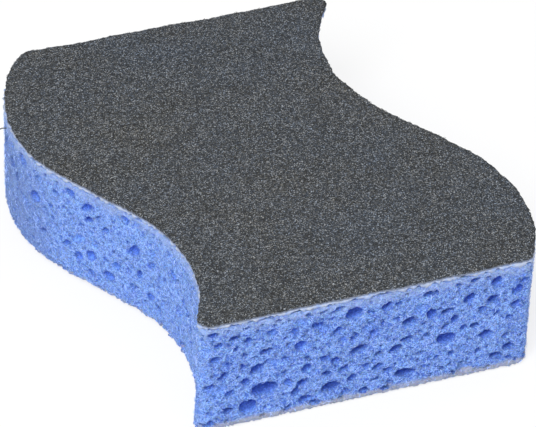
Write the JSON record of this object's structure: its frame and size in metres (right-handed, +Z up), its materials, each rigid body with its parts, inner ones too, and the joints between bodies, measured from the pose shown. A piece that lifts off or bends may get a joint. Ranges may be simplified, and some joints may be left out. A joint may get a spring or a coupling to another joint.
{
  "type": "sponge-backed scouring pad",
  "caption": "Hand-held scouring pad: a blue cellulose sponge block with two straight ends and two matching S-curved sides, topped by a thin grey abrasive non-woven sheet.",
  "frame": {"origin": "middle of the footprint, on the surface that the sponge rests on", "axes": "+Z up, from the sponge to the scouring sheet; +Y along the length, from the front end to the back end; +X across the width, towards the side that bulges near the front"},
  "size_m": [0.0988, 0.114, 0.0272],
  "materials": {
    "sponge": "open-cell blue cellulose foam, matt, dry",
    "adhesive": "pale set adhesive film, matt",
    "scouring": "dense dark grey resin-bonded fibre with fine grit, matt"
  },
  "bodies": {
    "root": {"sponge_block": "sponge", "adhesive_layer": "adhesive", "scouring_layer": "scouring"}
  },
  "joints": []
}
